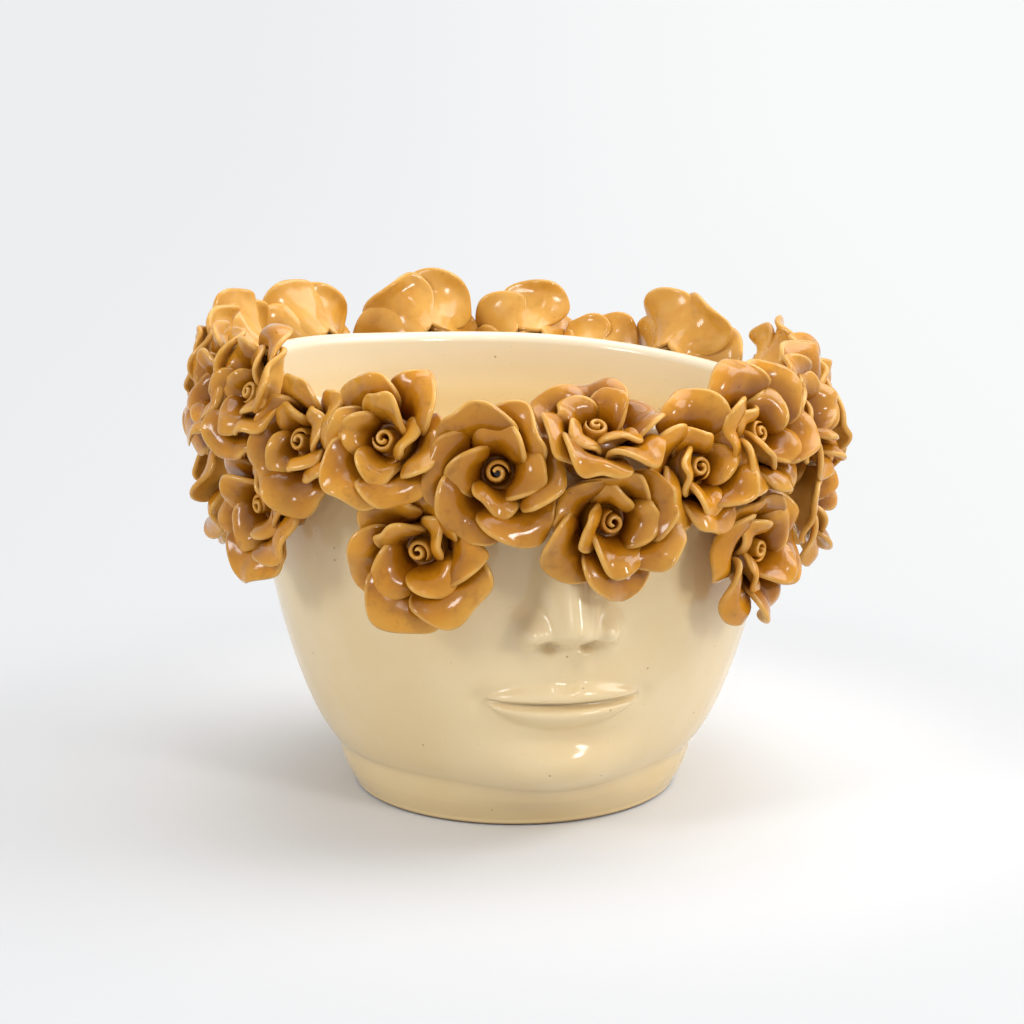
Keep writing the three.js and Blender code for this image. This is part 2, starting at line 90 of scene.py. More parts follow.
ROSE_TURN = 2.4  # radians from the petals of one rose to those of the next
WALL_STEPS = 400  # samples of the wall's curve where heights are looked up
BELLY_ROWS = 186
POT_COLUMNS = 300
PETAL_STEPS = 23
PAD_COLUMNS = 32
STRIP_STEPS = 72

# Lamps: place to the right of the view, away from it and up, aim above the table, side and power.
LAMPS = {
    "key": ((1.76, 0.16, 1.6), 0.08, 1.6, 35),
    "front": ((0.56, -2.08, 2.4), 0.08, 0.3, 3.5),
    "side": ((1.6, -1.76, 1.1), 0.08, 0.45, 17),
    "fill": ((-2.2, -1.6, 1.45), 0.08, 0.8, 30),
    "top": ((0.15, 0.6, 2.4), 0.05, 2.1, 35),
}
SKY_STRENGTH = 0.62

# The camera: turn round the pot and way from its axis, height, dip, a hair of pan, and focal length in
# pixels of an image of the given width.
VIEW_TURN = np.radians(-11)
VIEW_REACH, VIEW_HEIGHT = 0.9477, 0.3191
VIEW_DIP, VIEW_PAN = np.radians(13.17), np.radians(0.06)
FOCAL_PIXELS, IMAGE_PIXELS, SENSOR = 2735, 1024, 36.0


def length(name, description, default):
    """A length property in metres whose default is given in millimetres."""
    return FloatProperty(name=name, description=description, default=default * MM, unit="LENGTH", precision=4)


def bearing(name, description, default):
    """An angle property whose default is given in degrees."""
    return FloatProperty(name=name, description=description, default=np.radians(default), subtype="ANGLE")


def colour(name, description, default):
    """A colour property in linear light."""
    return FloatVectorProperty(
        name=name, description=description, default=default, size=3, min=0, max=1, subtype="COLOR"
    )


class PotSizes(bpy.types.PropertyGroup):
    """Sizes of the cast pot."""

    rim_height: length("Rim height", "Top of the lip, half way down its slant", 147)
    rim_radius: length("Rim radius", "Outside of the wall at the lip", 94)
    rim_slant: bearing("Rim slant", "Lean of the lip", 3.7)
    rim_low: bearing("Rim low side", "Wall angle where the lip is lowest", 79)
    wall: length("Wall", "Thickness of the wall", 7)
    floor: length("Floor", "Thickness of the floor", 9)
    fillet: length("Floor fillet", "Run of the round between floor and inner wall", 12)
    foot_radius: length("Foot radius", "Foot at the table", 58)
    foot_height: length("Foot height", "Up to the crease under the belly", 17)
    foot_flare: length("Foot flare", "How much wider the foot is at the crease", 5.5)
    foot_ring: length("Foot ring", "Width of the bare ring that the pot stands on", 11)
    foot_recess: length("Foot recess", "Depth of the hollow inside that ring", 2.5)
    crease: length("Crease step", "How far the belly stands out over the foot", 1.8)
    belly_flare: bearing("Belly flare", "Lean of the wall above the crease", 40)
    belly_pull: length("Belly pull", "How far the belly keeps that lean", 25)
    rim_pull: length("Rim pull", "How far the wall stays upright below the lip", 42)


class FaceSizes(bpy.types.PropertyGroup):
    """Sizes of the face, on the drawing-book canon of thirds."""

    chin_bottom: length("Chin bottom", "Above the table", 12)
    third: length("Third", "Chin to nose base, and nose base to brow", 62)
    nose_width: length("Nose width", "Across the wings", 32)
    nose_height: length("Nose height", "How far the tip stands out", 19)
    mouth_width: length("Mouth width", "Corner to corner", 50)
    lips: length("Lips", "How far the lips stand out", 5)
    chin: length("Chin", "How far the chin stands out", 13)
    muzzle: length("Muzzle", "Swell round the mouth", 9)
    cheek: length("Cheek", "Swell of the cheeks", 3)


class RoseSizes(bpy.types.PropertyGroup):
    """Sizes of one hand-built rose."""

    radius: length("Radius", "Reach of the open petals", 25.5)
    thickness: length("Petal thickness", "Of the pinched sheet", 2.5)
    inner_count: IntProperty(name="Inner petals", description="Petals round the heart", default=4)
    inner_length: length("Inner length", "Root to tip", 17)
    inner_half: length("Inner half width", "At the widest place", 9.6)
    inner_root: length("Inner root", "Half width at the pad", 5)
    outer_count: IntProperty(name="Outer petals", description="Petals of the open ring", default=6)
    outer_half: length("Outer half width", "At the widest place", 13.5)
    outer_root: length("Outer root", "Half width at the pad", 6)
    ring_step: length("Ring step", "Between the roots of the two rings", 0.6)
    pad_height: length("Pad height", "Clay pad above the wall", 5)
    pad_margin: length("Pad margin", "Pad round the roots", 0.6)
    collar: length("Collar", "Rise of the pad round the heart", 8)
    heart_radius: length("Heart radius", "Outside of the rolled strip", 4.6)
    heart_length: length("Heart length", "Height of the rolled strip", 9.5)
    strip: length("Strip", "Thickness of the rolled strip", 1.5)
    strip_gap: length("Strip gap", "Between the turns", 0.5)
    turns: FloatProperty(name="Turns", description="Turns of the rolled strip", default=1.5)
    seat_gap: length("Seat gap", "Between pieces set on each other", 0.3)
    neighbour_lap: length("Neighbour lap", "How far petals of two roses reach over each other", 10)


class GlazeColours(bpy.types.PropertyGroup):
    """Colours of the glazes, the bare clay and the stage, in linear light."""

    cream: colour("Cream", "Pot glaze outside", (0.72, 0.57, 0.337))
    # Cream pooled also paints the shade on the foot near the table, as painted shade.
    cream_deep_and_foot_shade: colour("Cream pooled", "Pot glaze where it lies thick", (0.66, 0.47, 0.21))
    lip: colour("Lip", "Pot glaze where it thins on the lip", (0.76, 0.67, 0.50))
    speck: colour("Speck", "Iron specks in the glaze", (0.12, 0.06, 0.025))
    honey: colour("Honey", "Rose glaze", (0.60, 0.236, 0.005))
    # Honey edge is also painted on the rear of every petal to make it lighter, as painted light.
    honey_edge_and_rear_light: colour("Honey edge", "Rose glaze where it breaks on an edge", (0.68, 0.38, 0.085))
    # Honey pool also paints the shade in the folds, on the pads and on the darker roses.
    honey_pool_and_shade: colour("Honey pool", "Rose glaze where it lies thick", (0.13, 0.026, 0.001))
    # The dull colour also paints a soft, milky reflection in patches.
    honey_dull_and_sheen: colour("Honey dull", "Rose glaze where it dries to a dull skin", (0.56, 0.278, 0.038))
    cream_inside: colour("Cream inside", "Pot glaze inside", (0.80, 0.62, 0.32))
    ochre: colour("Ochre", "Pot glaze where it pools inside", (0.76, 0.53, 0.20))
    clay: colour("Bare clay", "Unglazed foot", (0.13, 0.065, 0.03))
    paper: colour("Floor", "Floor round the pot", (0.70, 0.705, 0.715))
    paper_round: colour("Floor further out", "Floor a hand away from the pot", (0.55, 0.555, 0.565))
    # The backdrop is painted darker to the left and lighter to the right, as painted shade and painted light.
    backdrop_left_shaded: colour("Backdrop left", "Far floor and backdrop on the left", (0.85, 0.855, 0.87))
    backdrop_right_lit: colour("Backdrop right", "Far floor and backdrop on the right", (0.945, 0.955, 0.955))


def smooth(x, low, high):
    """Smooth step: 0 below low, 1 above high, 3t^2 - 2t^3 between."""
    t = np.clip((x - low) / (high - low), 0, 1)
    return t * t * (3 - 2 * t)


def mix(a, b, t):
    """Straight blend from a to b."""
    return a + (b - a) * t


def soft_least(a, b, soft):
    """The lesser of a and b with a round corner: -soft log(exp(-a / soft) + exp(-b / soft))."""
    return -soft * np.logaddexp(-a / soft, -b / soft)


def rise(x, z, x0, z0, wide, high):
    """Round rise of one unit: exp(-((x - x0) / wide)^2 - ((z - z0) / high)^2)."""
    return np.exp(-(((x - x0) / wide) ** 2) - ((z - z0) / high) ** 2)


def outward(angle):
    """Unit vectors from the pot's axis at wall angles: (sin a, -cos a, 0)."""
    return np.stack([np.sin(angle), -np.cos(angle), np.zeros_like(angle)], -1)


def slant(size, x, y, z):
    """Lift of the slanted lip: -tan(slant) times the way towards the low side times (z / rim height)^2."""
    towards = x * np.sin(size.rim_low) - y * np.cos(size.rim_low)
    return -np.tan(size.rim_slant) * towards * (z / size.rim_height) ** 2


def belly_curve(size, count):
    """Points (radius, height) and unit tangents of the wall, on a cubic Bezier from the crease to the lip."""
    start = np.array([size.foot_radius + size.foot_flare + size.crease, size.foot_height + size.crease])
    end = np.array([size.rim_radius, size.rim_height - size.wall / 2])
    flare = np.array([np.sin(size.belly_flare), np.cos(size.belly_flare)])
    a, b = start + size.belly_pull * flare, end - np.array([0, size.rim_pull])
    t = np.linspace(0, 1, count)[:, None]
    s = 1 - t
    points = s**3 * start + 3 * s * s * t * a + 3 * s * t * t * b + t**3 * end
    slope = s * s * (a - start) + 2 * s * t * (b - a) + t * t * (end - b)
    return points, slope / np.linalg.norm(slope, axis=1, keepdims=True)


def lip_swell(t):
    """Section of a lip from the parting at t = 0 to its border at t = 1: 3.96 t^0.7 (1 - t)^1.5."""
    t = np.clip(t, 0, 1)
    return 3.96 * t**0.7 * (1 - t) ** 1.5


def nose_relief(face, nose_base, brow, x, z):
    """The nose: a ridge whose profile is the soft least of the bridge's and the underside's straight lines,
    with round rises for the wings and dents for the grooves beside the tip and for the nostrils."""
    side = np.abs(x)
    tip_height, nasion = nose_base + 8 * MM, brow - 10 * MM
    down = (nasion - z) / (nasion - tip_height)
    bridge, under = mix(0.12, 1.05, down), (z - nose_base + MM) / (7 * MM)
    profile = -soft_least(-soft_least(bridge, under, 0.22), 0, 0.06)
    width = mix(6.5 * MM, 9 * MM, np.clip(down, 0, 1))
    ridge = profile * np.exp(-((x / width) ** 2)) * (1 - smooth(z, nasion, brow))
    wing_place = face.nose_width / 2 - 4.5 * MM
    wing = 0.45 * rise(side, z, wing_place, nose_base + 5.5 * MM, 4.6 * MM, 5.6 * MM)
    groove = -0.12 * rise(side, z, wing_place - 4.5 * MM, nose_base + 9 * MM, 2.2 * MM, 4.5 * MM)
    nostril = -0.28 * rise(side, z, 6.2 * MM, nose_base + 0.6 * MM, 3.2 * MM, 2.2 * MM)
    return face.nose_height * (ridge + wing + groove + nostril)


def mouth_relief(face, mouth, x, z):
    """The mouth: two lip swells that taper to the corners, a bow in the upper one, a line between them, and
    dents and small ridges round them."""
    side = np.abs(x)
    half = face.mouth_width / 2
    share = np.minimum(side / half, 1)
    taper = (1 - share**2) ** 0.7
    parting = mouth + 0.6 * MM * share**2
    bow = 1 - 0.16 * np.exp(-((x / (3 * MM)) ** 2))
    upper = 0.8 * lip_swell((z - parting) / (8.5 * MM * bow * taper + 0.5 * MM)) * np.sqrt(taper)
    lower = lip_swell((parting - z) / (10 * MM * taper + 0.5 * MM)) * np.sqrt(taper)
    line = -0.3 * np.exp(-(((z - parting) / (1.1 * MM)) ** 2))
    line = line * (1 - smooth(side, half - 4 * MM, half + MM))
    corner = -0.3 * rise(side, z, half + MM, mouth, 4 * MM, 4.5 * MM)
    philtrum = -0.2 * rise(x, z, 0, mouth + 13.5 * MM, 2.8 * MM, 5 * MM)
    ridges = 0.12 * rise(side, z, 4.8 * MM, mouth + 12.5 * MM, 2.2 * MM, 5 * MM)
    fold = -0.5 * rise(x, z, 0, mouth - 14.5 * MM, 15 * MM, 4.5 * MM)
    return face.lips * (upper + lower + line + corner + philtrum + ridges + fold)


def wall_relief(face, pot, angle, radius, height):
    """How far the face stands out of the wall at wall angles: nose and mouth on round rises for muzzle, chin
    and cheeks. The arc length from the middle of the face is angle times radius."""
    x, z = np.arctan2(np.sin(angle), np.cos(angle)) * radius, height
    nose_base = face.chin_bottom + face.third
    brow = nose_base + face.third
    mouth = nose_base - face.third / 3
    muzzle = face.muzzle * rise(x, z, 0, mouth + 3 * MM, 36 * MM, 27 * MM)
    chin = face.chin * rise(x, z, 0, face.chin_bottom + 14 * MM, 23 * MM, 14 * MM)
    cheek = face.cheek * rise(np.abs(x), z, 43 * MM, nose_base + 6 * MM, 20 * MM, 22 * MM)
    features = nose_relief(face, nose_base, brow, x, z) + mouth_relief(face, mouth, x, z)
    ends = smooth(z, 2 * MM, face.chin_bottom) * (1 - smooth(z, brow, pot.rim_height - pot.wall))
    return ends * (muzzle + chin + cheek + features)


def wall_points(pot, face, angle, height):
    """Points on the outside of the finished wall at wall angles and heights."""
    curve, _ = belly_curve(pot, WALL_STEPS)
    radius = np.interp(height, curve[:, 1], curve[:, 0])
    points = outward(angle) * (radius + wall_relief(face, pot, angle, radius, height))[..., None]
    points[..., 2] = height + slant(pot, points[..., 0], points[..., 1], height)
    return points


def grid_faces(rows, columns, closed):
    """Quads of a grid of vertices numbered row by row; a closed grid joins its last column to its first."""
    j, i = np.meshgrid(np.arange(rows - 1), np.arange(columns if closed else columns - 1), indexing="ij")
    k = (i + 1) % columns
    low, high = j * columns, (j + 1) * columns
    return np.stack([low + i, low + k, high + k, high + i], -1).reshape(-1, 4)


def turned_faces(rows, columns):
    """Quads of a turned shape and the fans to its first and last pole, which are numbered after its rows."""
    ring = np.arange(columns)
    after = (ring + 1) % columns
    pole, last = rows * columns, (rows - 1) * columns
    fans = np.concatenate([
        np.stack([0 * ring + pole, after, ring], -1),
        np.stack([0 * ring + pole + 1, last + ring, last + after], -1),
    ])
    return grid_faces(rows, columns, True), fans


def make_piece(name, points, faces, attributes, material, node):
    """A smooth mesh object from whole arrays, riding on the root body in place of a CAD node."""
    mesh = bpy.data.meshes.new(name)
    sizes = np.concatenate([np.full(len(f), f.shape[1]) for f in faces])
    corners = np.concatenate([f.ravel() for f in faces]).astype(np.int32)
    mesh.vertices.add(len(points))
    mesh.loops.add(len(corners))
    mesh.polygons.add(len(sizes))
    mesh.vertices.foreach_set("co", np.asarray(points, np.float32).ravel())
    mesh.loops.foreach_set("vertex_index", corners)
    mesh.polygons.foreach_set("loop_start", np.concatenate([[0], np.cumsum(sizes)[:-1]]).astype(np.int32))
    mesh.polygons.foreach_set("use_smooth", np.ones(len(sizes), bool))
    for label, values in attributes.items():
        layer = mesh.attributes.new(label, "FLOAT", "POINT")
        layer.data.foreach_set("value", np.asarray(values, np.float32).ravel())
    mesh.update(calc_edges=True)
    if mesh.validate():
        raise RuntimeError(f"{name} has faces that don't fit together")
    piece = bpy.data.objects.new(name, mesh)
    bpy.context.scene.collection.objects.link(piece)
    mesh.materials.append(material)
    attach(piece, "root")
    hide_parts(node)


class Wiring:
    """Short hand for the node tree of a material or a world."""

    def __init__(self, name, world=None):
        self.owner = world or bpy.data.materials.get(name) or bpy.data.materials.new(name)
        self.owner.use_nodes = True
        self.tree = self.owner.node_tree
        self.tree.nodes.clear()

    def add(self, kind, inputs=None, **settings):
        """A node of a kind with its settings; each input is linked to a socket or set to a value."""
        node = self.tree.nodes.new("ShaderNode" + kind)
        for key, value in settings.items():
            setattr(node, key, value)
        for key, value in (inputs or {}).items():
            if isinstance(value, bpy.types.NodeSocket):
                self.tree.links.new(value, node.inputs[key])
            else:
                node.inputs[key].default_value = value
        return node

    def attribute(self, name):
        """A number kept at the points of a mesh."""
        return self.add("Attribute", attribute_name=name).outputs["Fac"]

    def place(self):
        """The point in object coordinates, which in a world is the direction."""
        return self.add("TexCoord").outputs["Object"]

    def part(self, vector, axis):
        """One part, X, Y or Z, of a vector."""
        return self.add("SeparateXYZ", {0: vector}).outputs[axis]

    def noise(self, scale, detail=3.0, rough=0.5):
        """Fractal noise on the piece, from 0 to 1."""
        inputs = {"Vector": self.place(), "Scale": scale, "Detail": detail, "Roughness": rough}
        return self.add("TexNoise", inputs).outputs["Fac"]

    def ramp(self, value, low, high, to_low=0.0, to_high=1.0):
        """A smooth step of a value between two limits."""
        inputs = {"Value": value, "From Min": low, "From Max": high, "To Min": to_low, "To Max": to_high}
        return self.add("MapRange", inputs, interpolation_type="SMOOTHSTEP").outputs["Result"]

    def blend(self, factor, a, b):
        """A colour between two others."""
        return self.add("Mix", {0: factor, 6: a, 7: b}, data_type="RGBA").outputs[2]

    def math(self, operation, a, b):
        """A sum, product or the like of two numbers."""
        return self.add("Math", {0: a, 1: b}, operation=operation).outputs[0]

    def specks(self, scale, core, rare, common, strength):
        """Dots in cells of size 1 / scale, full within core; only cells picked above rare have one."""
        rim = 0.12
        cells = self.add("TexVoronoi", {"Vector": self.place(), "Scale": scale, "Randomness": 1.0})
        dot = self.ramp(cells.outputs["Distance"], core, rim, 1.0, 0.0)
        pick = self.add("SeparateColor", {"Color": cells.outputs["Color"]}).outputs["Red"]
        return self.math("MULTIPLY", dot, self.ramp(pick, rare, common, 0.0, strength))

    def shown(self):
        """1 for the rays that show the background: to the camera, in gloss and through glass."""
        path = self.add("LightPath").outputs
        seen = self.math("MAXIMUM", path["Is Camera Ray"], path["Is Glossy Ray"])
        return self.math("MAXIMUM", seen, path["Is Transmission Ray"])

    def bump(self, height, strength, distance):
        """Normals of a surface roughened by a height."""
        inputs = {"Height": height, "Strength": strength, "Distance": distance}
        return self.add("Bump", inputs).outputs["Normal"]

    def glaze(self, inputs):
        """The finished material, a principled surface."""
        shader = self.add("BsdfPrincipled", inputs)
        self.add("OutputMaterial", {"Surface": shader.outputs["BSDF"]})
        return self.owner


def rgba(tone):
    """A colour property as a colour socket takes it."""
    return (*tone, 1.0)


def cream_glaze(tones):
    """Cream glaze: a warm mottle, deeper inside, painted shade on the foot towards the table, pale where it
    thins on the lip, with iron specks of two sizes, and the bare ring."""
    w = Wiring("cream_glaze")
    mottle = w.ramp(w.noise(28, 4, 0.55), 0.35, 0.7)
    tone = w.blend(w.math("MULTIPLY", mottle, 0.35), rgba(tones.cream), rgba(tones.cream_deep_and_foot_shade))
    ochre = w.ramp(w.noise(14, 3, 0.55), 0.42, 0.68, 0.0, 0.55)
    lining = w.blend(ochre, rgba(tones.cream_inside), rgba(tones.ochre))
    tone = w.blend(w.math("MULTIPLY", w.attribute("inside"), 0.85), tone, lining)
    tone = w.blend(w.attribute("lip"), tone, rgba(tones.lip))
    # Painted shade: the lowest 30 mm of the pot are blended towards the pooled cream, darkest at the table,
    # for the shade near the floor.
    painted_foot_shade = w.ramp(w.part(w.place(), "Z"), 3 * MM, 30 * MM, 0.45, 0.0)
    tone = w.blend(painted_foot_shade, tone, rgba(tones.cream_deep_and_foot_shade))
    for scale, rare, dark in ((210.0, 0.9, 0.6), (380.0, 0.72, 0.22)):
        tone = w.blend(w.specks(scale, 0.05, rare, rare + 0.03, dark), tone, rgba(tones.speck))
    bare = w.attribute("bare")
    tone = w.blend(bare, tone, rgba(tones.clay))
    uneven = w.ramp(w.noise(60), 0.3, 0.7, 0.0, 0.05)
    rough = w.math("ADD", w.ramp(bare, 0, 1, 0.14, 0.75), uneven)
    bump = w.bump(w.noise(55, 2), 0.08, 2 * MM)
    return w.glaze({"Base Color": tone, "Roughness": rough, "Normal": bump, "IOR": 1.5})


def honey_glaze(tones):
    """Honey glaze: dries to a dull skin in patches, which also paint a soft sheen, breaks to tan where it
    thins on edges, and pools to brown in the folds, in the middle of petals and on a few chosen roses, with a
    few pinholes.
    The brown in the folds is partly painted shade, that on the chosen roses is painted shade, and the rear of
    every petal is painted lighter."""
    w = Wiring("honey_glaze")
    depth, thin_and_rear_light, drift = w.attribute("depth"), w.attribute("thin_and_rear_light"), w.noise(70, 4, 0.6)
    honey_pool_and_shade = rgba(tones.honey_pool_and_shade)
    # Dull patches at random and along edges, out of the folds; they also paint a soft, milky reflection.
    patch = w.math("MULTIPLY", w.ramp(w.noise(38, 3, 0.55), 0.4, 0.65), 0.5)
    dull_skin_and_sheen = w.math("ADD", patch, w.math("MULTIPLY", thin_and_rear_light, 0.35))
    dull_skin_and_sheen = w.math("MULTIPLY", dull_skin_and_sheen, w.ramp(depth, 0.25, 0.8))
    tone = w.blend(dull_skin_and_sheen, rgba(tones.honey), rgba(tones.honey_dull_and_sheen))
    tone = w.blend(w.ramp(w.noise(230, 3, 0.6), 0.5, 0.75, 0.0, 0.3), tone, honey_pool_and_shade)
    cloud = w.ramp(w.noise(60, 3, 0.6), 0.36, 0.64, 0.08, 0.42)
    tone = w.blend(w.math("MULTIPLY", w.math("SUBTRACT", 1.0, thin_and_rear_light), cloud), tone, honey_pool_and_shade)
    # Painted shade: the chosen roses are blended towards the pooled brown.
    tone = w.blend(w.attribute("rose_shade"), tone, honey_pool_and_shade)
    # Glaze pooled towards the roots of the petals, and partly painted shade: darker where shade falls round
    # the heart.
    pool_and_shade = w.math("MULTIPLY", w.ramp(depth, 0.85, 0.15), w.ramp(drift, 0.2, 0.6, 0.75, 1.0))
    tone = w.blend(pool_and_shade, tone, honey_pool_and_shade)
    # Tan where the glaze breaks on edges, and as painted light on the rear of every petal.
    broken_and_rear_light = w.math("MULTIPLY", w.ramp(w.attribute("edge_and_rear_light"), 0.25, 1.0), w.ramp(drift, 0.32, 0.64, 0.3, 0.9))
    tone = w.blend(broken_and_rear_light, tone, rgba(tones.honey_edge_and_rear_light))
    tone = w.blend(w.specks(260.0, 0.06, 0.93, 0.95, 0.7), tone, honey_pool_and_shade)
    rough = w.ramp(drift, 0.3, 0.7, 0.12, 0.2)
    bump = w.bump(w.noise(140, 2), 0.1, MM)
    inputs = {"Base Color": tone, "Roughness": rough, "Normal": bump}
    return w.glaze({**inputs, "IOR": 1.5, "Specular IOR Level": 0.42})


def pot_profile(pot):
    """Rows (radius, height) from the middle of the underside over the foot, belly and lip to the middle of
    the floor, which of them are outside, and each row's shares of lining, pale lip and bare clay. Corners of
    the foot are quarter rounds, and the crease is softened by a running mean of the rows."""
    round_edge, swell = 2.2 * MM, 1.2 * MM
    few, many = 4, 12  # rows over which one stretch runs into the next
    ring_in = pot.foot_radius - pot.foot_ring
    under = np.linspace(0, ring_in - pot.foot_recess, 8)
    ring = np.linspace(ring_in + 2 * MM, pot.foot_radius - round_edge, 4)
    turn = np.linspace(0, np.pi / 2, 8)[1:-1]
    corner = np.stack([np.sin(turn) - 1, 1 - np.cos(turn)], -1)
    crease = np.array([pot.foot_radius + pot.foot_flare, pot.foot_height])
    t = np.linspace(0, 1, 24)[:, None]
    foot = mix(np.array([pot.foot_radius, round_edge]), crease, t)
    foot[:, 0] += swell * np.sin(np.pi * t[:, 0])
    belly, tangent = belly_curve(pot, BELLY_ROWS)
    t = np.linspace(0, 1, 7)[1:-1]
    step = [mix(crease[0], belly[0, 0], (1 - np.cos(np.pi * t)) / 2), mix(crease[1], belly[0, 1], t)]
    half = pot.wall / 2
    over = np.linspace(0, np.pi, 22)[1:-1]
    lip = belly[-1] - [half, 0] + half * np.stack([np.cos(over), np.sin(over)], -1)
    lining = (belly + pot.wall * np.stack([-tangent[:, 1], tangent[:, 0]], -1))[::-1]
    lining = lining[: int(0.9 * len(lining))][::3]
    last = lining[-1]
    bend, end = np.array([last[0] - pot.fillet / 3, pot.floor]), np.array([last[0] - pot.fillet, pot.floor])
    t = np.linspace(0, 1, 14)[1:, None]
    middle = np.linspace(end[0], 0, 8)[1:]
    sections = {
        "under": np.stack([under, np.full_like(under, pot.foot_recess)], -1),
        "ring edge": np.array([[ring_in, 0.0]]),
        "ring": np.stack([ring, np.zeros_like(ring)], -1),
        "foot edge": [pot.foot_radius, 0] + round_edge * corner,
        "foot": foot,
        "step": np.stack(step, -1),
        "belly": belly,
        "lip": lip,
        "lining": lining,
        "fillet": (1 - t) ** 2 * last + 2 * t * (1 - t) * bend + t * t * end,
        "floor": np.stack([middle, np.full_like(middle, pot.floor)], -1),
    }
    ends = dict(zip(sections, np.cumsum([len(rows) for rows in sections.values()])))
    profile = np.concatenate(list(sections.values()))
    weights = np.hanning(15)[1:-1]
    weights /= weights.sum()
    reach = len(weights) // 2
    low, high = ends["foot"] - many, ends["step"] + many
    near = profile[low - reach : high + reach]
    profile[low:high] = np.stack([np.convolve(side, weights, "valid") for side in near.T], -1)

    row = np.arange(len(profile))
    outside = (row >= ends["under"]) & (row < ends["belly"])
    past_lip = smooth(row, ends["lip"] - few, ends["lip"] + many)
    coats = {
        "inside": smooth(row, ends["lip"], ends["lip"] + many),
        "lip": smooth(row, ends["belly"] - many, ends["belly"] + few) * (1 - past_lip),
        "bare": (1 - smooth(profile[:, 1], 0.3 * MM, 1.5 * MM)) * (row < ends["foot"]),
    }
    return profile, outside, coats


def finger_marks(angle, height):
    """Marks of the hand inside the pot: rings 0.25 mm sin(2 pi height / 16 mm + p(a)), which waver with
    p = 1.4 sin 2a + 0.6 sin(5a + 1), and dents 0.5 mm sin(3a + height / 22 mm)."""
    waver = 1.4 * np.sin(2 * angle) + 0.6 * np.sin(5 * angle + 1)
    rings = 0.25 * np.sin(2 * np.pi * height / (16 * MM) + waver)
    dents = 0.5 * np.sin(3 * angle + height / (22 * MM))
    return MM * (rings + dents)


def lip_wave(pot, angle, height):
    """Uneven lip: 0.6 mm (sin(3a + 1) + 0.6 sin 5a) (height / rim height)^8."""
    wave = np.sin(3 * angle + 1) + 0.6 * np.sin(5 * angle)
    return 0.6 * MM * wave * (height / pot.rim_height) ** 8


class CACHEPOT_OT_pot(bpy.types.Operator):
    """Build the cast pot with its face, foot and lip"""

    bl_idname = "cachepot.pot"
    bl_label = "Pot Body"

    def execute(self, context):
        pot, face = context.scene.cachepot_pot, context.scene.cachepot_face
        profile, outside, coats = pot_profile(pot)
        crowd = 0.62  # columns stand closer together on the face
        share = np.arange(POT_COLUMNS) / POT_COLUMNS
        angle = 2 * np.pi * share - crowd * np.sin(2 * np.pi * share)
        radius, height = profile[1:-1, :1], profile[1:-1, 1:]
        relief = wall_relief(face, pot, angle[None, :], radius, height) * outside[1:-1, None]
        relief = relief + finger_marks(angle, height) * coats["inside"][1:-1, None]
        points = outward(angle)[None] * (radius + relief)[..., None]
        lifted = slant(pot, points[..., 0], points[..., 1], height)
        points[..., 2] = height + lifted + lip_wave(pot, angle, height)
        poles = np.array([[0, 0, profile[0, 1]], [0, 0, profile[-1, 1]]])
        vertices = np.concatenate([points.reshape(-1, 3), poles])
        attributes = {
            name: np.concatenate([np.repeat(row[1:-1], POT_COLUMNS), row[[0, -1]]])
            for name, row in coats.items()
        }
        material = cream_glaze(context.scene.cachepot_glazes)
        faces = turned_faces(len(points), POT_COLUMNS)
        make_piece("pot_shell", vertices, faces, attributes, material, "pot_body")
        return {"FINISHED"}


def seat_roses(pot, face, size):
    """All roses' seat points, axes (side, up, out) as rows, core points, radii and sizes."""
    degrees, drop, tilt, scale = SEATS.T
    angle, tilt = np.radians(degrees), np.radians(tilt)
    seat = wall_points(pot, face, angle, pot.rim_height - drop * MM)
    axis = outward(angle) * np.cos(tilt)[:, None]
    axis[:, 2] = np.sin(tilt)
    side = np.stack([np.cos(angle), np.sin(angle), np.zeros_like(angle)], -1)
    frames = np.stack([side, np.cross(axis, side), axis], 1)
    core = seat + axis * size.pad_height
    return seat, frames, core, size.radius * scale, scale


def rose_plots(core, radius, lap):
    """For each rose the unit normals of the planes that part it from its neighbours by the share of their
    radii, and the planes' distances, each moved on by half of what petals lap over each other."""
    across = core[None] - core[:, None]
    distance = np.linalg.norm(across, axis=-1)
    both = radius[:, None] + radius[None]
    near = (distance > 0) & (distance < 1.5 * both)
    share = distance * radius[:, None] / both + lap / 2
    return [(across[i, keep] / distance[i, keep, None], share[i, keep]) for i, keep in enumerate(near)]


def crowding(plot, offset):
    """How far offsets from the core lie towards the border of the plot, 0 at the core and 1 on the border:
    the tenth root of the sum of the tenth powers of all border planes' shares, which rounds the corners."""
    normals, share = plot
    least = 1e-6  # keeps the core from a division by nothing
    return np.maximum((np.maximum(offset @ normals.T / share, 0) ** 10).sum(-1) ** 0.1, least)


def press(plot, core, axis, points):
    """Points pressed towards the core so that none reaches the border: a share s beyond 0.75 becomes
    0.75 + 0.25 (1 - exp(-(s - 0.75) / 0.25)). What is pressed in stands up along the axis instead."""
    free, lift = 0.75, 0.6
    offset = points - core
    for pass_lift in (lift, 0):
        share = crowding(plot, offset)
        pressed = free + (1 - free) * (1 - np.exp(-np.maximum(share - free, 0) / (1 - free)))
        keep = np.where(share < free, 1, pressed / share)
        flat = offset - (offset @ axis)[..., None] * axis
        stand = pass_lift * (1 - keep) * np.linalg.norm(flat, axis=-1)
        offset = offset * keep[..., None] + stand[..., None] * axis
    return core + offset


